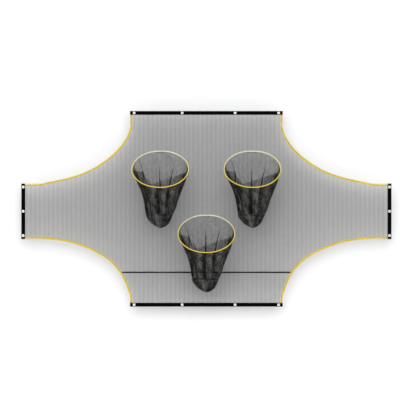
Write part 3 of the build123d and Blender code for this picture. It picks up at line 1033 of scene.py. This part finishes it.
extra = []
behind = bag_angles[np.sin(np.radians(bag_angles)) < -0.1]
halfway = (behind[:-1] + behind[1:]) / 2
grid, normals = surface_grid(bag_surface, halfway[None], np.linspace(0, 0.99, 60)[:, None])
doubled = grid[:, :, 2] < np.interp(grid[:, :, 0], *np.array(doubled_edge).T)
for c in range(len(halfway)):
    for a, b in runs(doubled[:, c], 5):
        line = grid[a:b:2, c]
        extra.append((line, normals[a:b:2, c], np.full(len(line), doubled_column)))
between_rows = (row_places[:-1] + row_places[1:]) / 2
grid, normals = surface_grid(bag_surface, behind[None], between_rows[:, None])
doubled = grid[:, :, 2] < np.interp(grid[:, :, 0], *np.array(doubled_edge).T)
for r in range(len(between_rows)):
    for a, b in runs(doubled[r], 3):
        extra.append((grid[r, a:b], normals[r, a:b], np.full(b - a, doubled_row)))
for centre, lean, begins, widening, spread in pleat_threads:
    for offset in np.linspace(-spread, spread, 7):
        top = begins + (0.024 * widening + 0.01) * abs(offset)
        places = np.linspace(min(top, 0.7), 0.8, 18)
        line, normals = surface_grid(bag_surface, centre + offset * 0.45 + lean * places, places)
        extra.append((line, normals, np.full(len(places), pleat_thread)))
extra_lines = threads(*zip(*extra), False)
bag_points, bag_faces = joined([row_lines, column_lines, extra_lines])

# Lit and shaded copies of the same black twine, darkest to lightest, for painted light and shade on the
# bags
painted_shade_levels = (0.003, 0.012, 0.034, 0.080)
# Streaks of painted highlight and shade down the bag's front: place across, width and how much lighter or
# darker
painted_light_streaks = (
    (0.037, 0.020, 0.10), (-0.027, 0.014, -0.16), (-0.068, 0.026, 0.06), (-0.135, 0.025, -0.10),
    (0.075, 0.013, -0.16), (0.125, 0.022, 0.04),
)
seam_drop = 0.625
bag_twines = [
    twine_material(f"bag_twine_{i}", (shade, shade, shade * 0.93), 0.0)
    for i, shade in enumerate(painted_shade_levels)
]


def bag_painted_shading(points, faces):
    """Which shade each face of a bag has: painted shade down in the pleats, painted highlight where they
    stand out, and tone that varies at random.
    """
    x, y, z = points[faces].mean(1).T
    # Painted light and shade: lighter streaks on the front's ridges, darker in its pleats; on the bottom a
    # painted highlight in the middle and painted shade to the right; the back painted darker than the front
    wall = sum(tone * np.exp(-(((x - at) / width) ** 2)) for at, width, tone in painted_light_streaks)
    bottom = 0.20 * np.exp(-(((x + 0.022) / 0.018) ** 2)) - 0.32 * np.clip((x - 0.006) / 0.012, 0, 1)
    streaks = np.where(z < -seam_drop, bottom, wall)
    rough = ripple(x, z * 0.35, waves(21, 9, 0.018, 0.06)) + 0.7 * ripple(x, z, waves(33, 9, 0.012, 0.05))
    in_front = np.clip((-y - 0.10) / 0.10, 0, 1)
    tone = 0.36 + in_front * (0.14 + 3.2 * streaks) + 0.55 * rough
    return np.clip((tone * len(painted_shade_levels)).astype(int), 0, len(painted_shade_levels) - 1)


for name in baskets:
    start = hinge_point(name)
    bag = mesh_piece(f"{name}_mesh_bag", bag_points + start, bag_faces.tolist(), smooth=False)
    for bag_twine in bag_twines:
        bag.data.materials.append(bag_twine)
    bag.data.polygons.foreach_set("material_index", bag_painted_shading(bag_points, bag_faces).tolist())
    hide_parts(f"{name}_bag")
    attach(bag, f"{name}_basket")
    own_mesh(bag)


# Bag bottoms: the same black mesh, gathered in at the tip and sewn to the bag along a level
# overlocked seam. It puckers into corners at the left and the right.
bottom_knots = (0.0, 0.30, 0.58, 0.80, 0.94, 1.0)
bottom_back = (
    (-0.040, -0.622), (-0.055, -0.660), (-0.080, -0.698),
    (-0.105, -0.728), (-0.130, -0.748), (-0.150, -0.7555),
)
bottom_front = (
    (-0.285, -0.622), (-0.265, -0.660), (-0.236, -0.698),
    (-0.208, -0.728), (-0.180, -0.748), (-0.160, -0.7555),
)
bottom_width_knots = (0.0, 0.30, 0.58, 0.67, 0.80, 0.94, 1.0)
bottom_left = (0.141, 0.124, 0.094, 0.082, 0.058, 0.022, 0.005)
bottom_right = (0.122, 0.108, 0.091, 0.086, 0.064, 0.036, 0.005)
bottom_columns = 118
bottom_rows = 24
bottom_pleats = (
    (97, 6, 0.030), (64, 6, 0.034), (143, 9, 0.030), (122, 6, 0.020), (160, 6, 0.012), (40, 6, 0.016),
)
bottom_thread = 0.0027
seam_points = 260
seam_thickness = 0.0022


def bottom_surface(angle, along):
    """Points of the bag's bottom, from the hinge point."""
    angle, along = np.broadcast_arrays(angle, along)
    shape = angle.shape
    angle, along = angle.ravel(), along.ravel()
    turn = np.radians(angle)
    back, front = eased(along, bottom_knots, bottom_back), eased(along, bottom_knots, bottom_front)
    left = np.interp(along, bottom_width_knots, bottom_left)
    right = np.interp(along, bottom_width_knots, bottom_right)
    middle, spread = (back + front) / 2, (front - back) / 2
    x = np.where(np.cos(turn) > 0, right, left) * np.cos(turn)
    y = middle[:, 0] + spread[:, 0] * np.sin(turn)
    z = middle[:, 1] + spread[:, 1] * np.sin(turn)
    sunk = np.zeros_like(along)
    for centre, width, depth in bottom_pleats:
        dip = np.clip(1 - abs(between(angle, centre)) / (width * 1.6), 0, 1) ** 1.7
        sunk += dip * depth * (1 - along) ** 0.7
    sunk += 0.004 * (1 - along) * (np.sin(turn * 13 + 6 * along) + np.sin(turn * 21 - 9 * along + 1)) / 2
    sunk += 0.006 * np.sin(np.pi * along) * np.sin(turn * 5 + 1)
    to_middle = np.stack([-x, middle[:, 0] - y, middle[:, 1] - z], 1)
    size = np.linalg.norm(to_middle, axis=1)
    to_middle /= size[:, None] + 1e-9
    points = np.stack([x, y, z], 1) + to_middle * np.minimum(sunk, 0.6 * size)[:, None]
    return points.reshape(*shape, 3)


bottom_angles = even_columns(bottom_surface, bottom_columns, 1.5, 0.2, 0.2)
places = np.linspace(0.01, 0.99, bottom_rows)
rows, row_normals = surface_grid(bottom_surface, bottom_angles[None], places[:, None])
bottom_width = np.full(bottom_columns, bottom_thread)
row_lines = threads(rows, row_normals, [bottom_width] * bottom_rows, True)
places = np.linspace(0, 0.995, 16)
grid, normals = surface_grid(bottom_surface, bottom_angles[None], places[:, None])
taper = bottom_thread * np.clip(1.15 - places, 0.25, 1)
column_lines = threads(grid.transpose(1, 0, 2), normals.transpose(1, 0, 2), [taper] * bottom_columns, False)
bottom_points, bottom_faces = joined([row_lines, column_lines])

seam_angles = even_columns(bag_surface, seam_points, 1.0, 1.0, 1.0)
seam_ring = bag_surface(seam_angles, np.ones(seam_points))
seam_way = np.roll(seam_ring, -1, 0) - np.roll(seam_ring, 1, 0)
seam_way /= np.linalg.norm(seam_way, axis=1)[:, None]
upright = np.tile((0.0, 0, 1.0), (seam_points, 1))
outward = np.cross(seam_way, upright)
outward /= np.linalg.norm(outward, axis=1)[:, None]
lumps = np.sin(np.arange(seam_points)[:, None] * 1.9 + np.arange(8)[None])
seam_radii = seam_thickness + 0.0004 * lumps
for name in baskets:
    start = hinge_point(name)
    cup = mesh_piece(f"{name}_mesh_bottom", bottom_points + start, bottom_faces.tolist(), smooth=False)
    for bag_twine in bag_twines:
        cup.data.materials.append(bag_twine)
    cup.data.polygons.foreach_set("material_index", bag_painted_shading(bottom_points, bottom_faces).tolist())
    seam = round_tube(seam_ring + start, outward, upright, seam_radii, f"{name}_bag_seam")
    seam.data.materials.append(black_tape)
    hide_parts(f"{name}_bag_bottom")
    for piece in (cup, seam):
        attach(piece, f"{name}_basket")
        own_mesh(piece)
